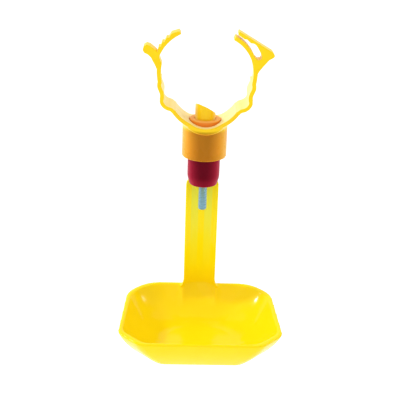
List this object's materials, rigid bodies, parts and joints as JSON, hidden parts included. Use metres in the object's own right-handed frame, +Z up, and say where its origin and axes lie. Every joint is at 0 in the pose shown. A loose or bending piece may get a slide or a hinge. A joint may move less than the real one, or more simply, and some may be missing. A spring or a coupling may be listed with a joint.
{
  "type": "poultry nipple drinker",
  "caption": "Clip-on poultry nipple drinker: open pipe clamp with barrel, valve nipple with trigger pin, and a hanging drip cup.",
  "frame": {"origin": "on the axis of the water pipe that the clamp closes on, straight above the valve", "axes": "+Z up along the valve's axis; +Y along the pipe, away from the side the cup reaches out to; +X to the right seen from the cup's side"},
  "size_m": [0.058, 0.049, 0.1142],
  "materials": {
    "yellow_moulding": "smooth moulded polypropylene, slightly translucent",
    "cup_yellow": "smooth moulded polypropylene",
    "gasket_peach": "soft moulded seal",
    "nipple_red": "translucent moulded acetal",
    "black_rubber": "moulded rubber",
    "stainless": "turned stainless steel"
  },
  "bodies": {
    "saddle": {"saddle_barrel": "yellow_moulding", "pipe_gasket": "gasket_peach", "nipple_body": "nipple_red", "body_o_ring": "black_rubber", "valve_sleeve": "stainless", "upper_valve_seat": "stainless", "seat_seal": "black_rubber"},
    "left_arm": {"left_clamp_arm": "yellow_moulding"},
    "right_arm": {"right_clamp_arm": "yellow_moulding"},
    "ball": {"valve_ball": "stainless"},
    "trigger": {"trigger_pin": "stainless"},
    "cup": {"drip_cup": "cup_yellow"}
  },
  "joints": [
    {"name": "left_arm_flex", "type": "hinge", "parent": "saddle", "child": "left_arm", "pos_m": [-0.0152, 0, -0.0029], "axis": [0, 1, 0], "range_deg": [0, 25], "stiffness_Nm_per_rad": 0.02},
    {"name": "right_arm_flex", "type": "hinge", "parent": "saddle", "child": "right_arm", "pos_m": [0.0152, 0, -0.0029], "axis": [0, -1, 0], "range_deg": [0, 25], "stiffness_Nm_per_rad": 0.02},
    {"name": "ball_lift", "type": "slide", "parent": "saddle", "child": "ball", "axis": [0, 0, 1], "range_m": [0, 0.001]},
    {"name": "trigger_tilt", "type": "hinge", "parent": "ball", "child": "trigger", "pos_m": [0, 0, -0.0312], "axis": [0, 1, 0], "range_deg": [-8, 8]},
    {"name": "cup_release", "type": "slide", "parent": "saddle", "child": "cup", "axis": [0, 0, -1], "range_m": [0, 0.008]}
  ],
  "couplings": [
    {"joint": "right_arm_flex", "follows": "left_arm_flex", "ratio": 1}
  ]
}
